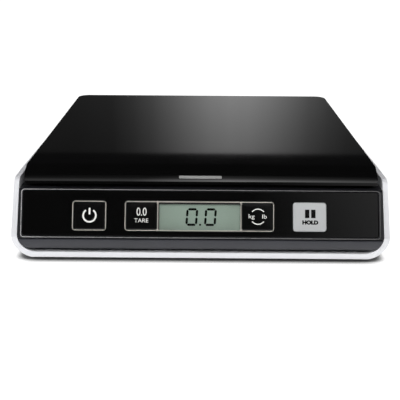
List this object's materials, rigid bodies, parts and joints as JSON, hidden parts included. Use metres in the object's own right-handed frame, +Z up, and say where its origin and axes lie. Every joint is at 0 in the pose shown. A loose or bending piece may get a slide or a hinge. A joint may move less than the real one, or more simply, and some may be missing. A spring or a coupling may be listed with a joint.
{
  "type": "platform shipping scale",
  "caption": "Low bench scale for parcels: square black platform, sloping front panel with keys and a display, silver cradle base.",
  "frame": {"origin": "on the surface the feet stand on, under the centre of the whole scale", "axes": "+Z up out of the platform, +Y to the rear, so the panel faces -Y and +X is the user's right"},
  "size_m": [0.216, 0.22, 0.051],
  "materials": {
    "gloss_black_plastic": "gloss",
    "satin_black_plastic": "satin",
    "silver_plastic": "satin",
    "silver_trim": "satin",
    "black_key_plastic": "gloss",
    "silver_key_plastic": "satin",
    "clear_window": "gloss",
    "lcd_glass": "gloss",
    "white_plastic": "satin",
    "board_laminate": "satin",
    "black_plastic": "satin",
    "aluminium": "satin",
    "plated_steel": "satin",
    "rubber": "matte",
    "cable_jacket": "satin",
    "battery_can": "satin",
    "label_film": "satin"
  },
  "bodies": {
    "base": {"front_panel": "gloss_black_plastic", "upper_housing": "satin_black_plastic", "lower_housing": "silver_plastic", "power_button_ring": "silver_trim", "display_frame": "silver_trim", "display_window": "clear_window", "lcd_module": "lcd_glass", "lcd_holder": "white_plastic", "main_board": "board_laminate", "usb_board": "board_laminate", "power_switch": "black_plastic", "tare_switch": "black_plastic", "units_switch": "black_plastic", "hold_switch": "black_plastic", "load_cell": "aluminium", "load_cell_screw_front_1": "plated_steel", "load_cell_screw_front_2": "plated_steel", "overload_stop_screw": "plated_steel", "battery_spring_1": "plated_steel", "battery_spring_2": "plated_steel", "battery_spring_3": "plated_steel", "battery_spring_plate": "plated_steel", "battery_contact_plate": "plated_steel", "usb_socket": "plated_steel", "board_screw_1": "plated_steel", "board_screw_2": "plated_steel", "housing_screw_front_left": "plated_steel", "housing_screw_rear_left": "plated_steel", "housing_screw_front_right": "plated_steel", "housing_screw_rear_right": "plated_steel", "foot_front_left": "rubber", "foot_rear_left": "rubber", "foot_front_right": "rubber", "foot_rear_right": "rubber", "load_cell_lead": "cable_jacket", "battery_lead": "cable_jacket", "usb_lead": "cable_jacket", "battery_1": "battery_can", "battery_2": "battery_can", "battery_3": "battery_can", "rating_label": "label_film"},
    "platform": {"platform_cover": "gloss_black_plastic", "platform_support": "black_plastic", "load_cell_screw_rear_1": "plated_steel", "load_cell_screw_rear_2": "plated_steel"},
    "battery_door": {"battery_door": "silver_plastic"},
    "power_key": {"power_button": "black_key_plastic", "power_switch_plunger": "white_plastic"},
    "tare_key": {"tare_button": "black_key_plastic", "tare_switch_plunger": "white_plastic"},
    "units_key": {"units_button": "black_key_plastic", "units_switch_plunger": "white_plastic"},
    "hold_key": {"hold_button": "silver_key_plastic", "hold_switch_plunger": "white_plastic"}
  },
  "joints": [
    {"name": "platform_travel", "type": "slide", "parent": "base", "child": "platform", "axis": [0, 0, -1], "range_m": [0, 0.0006], "stiffness_N_per_m": 60000, "springref_m": -0.0001, "deforming": ["load_cell"]},
    {"name": "power_press", "type": "slide", "parent": "base", "child": "power_key", "axis": [0, 0.9063, -0.4226], "range_m": [0, 0.0008], "stiffness_N_per_m": 1500, "springref_m": -0.0002},
    {"name": "tare_press", "type": "slide", "parent": "base", "child": "tare_key", "axis": [0, 0.9063, -0.4226], "range_m": [0, 0.0008], "stiffness_N_per_m": 1500, "springref_m": -0.0002},
    {"name": "units_press", "type": "slide", "parent": "base", "child": "units_key", "axis": [0, 0.9063, -0.4226], "range_m": [0, 0.0008], "stiffness_N_per_m": 1500, "springref_m": -0.0002},
    {"name": "hold_press", "type": "slide", "parent": "base", "child": "hold_key", "axis": [0, 0.9063, -0.4226], "range_m": [0, 0.0008], "stiffness_N_per_m": 1500, "springref_m": -0.0002},
    {"name": "battery_door_swing", "type": "hinge", "parent": "base", "child": "battery_door", "pos_m": [-0.0303, 0.044, 0.00175], "axis": [0, -1, 0], "range_deg": [0, 70]}
  ]
}
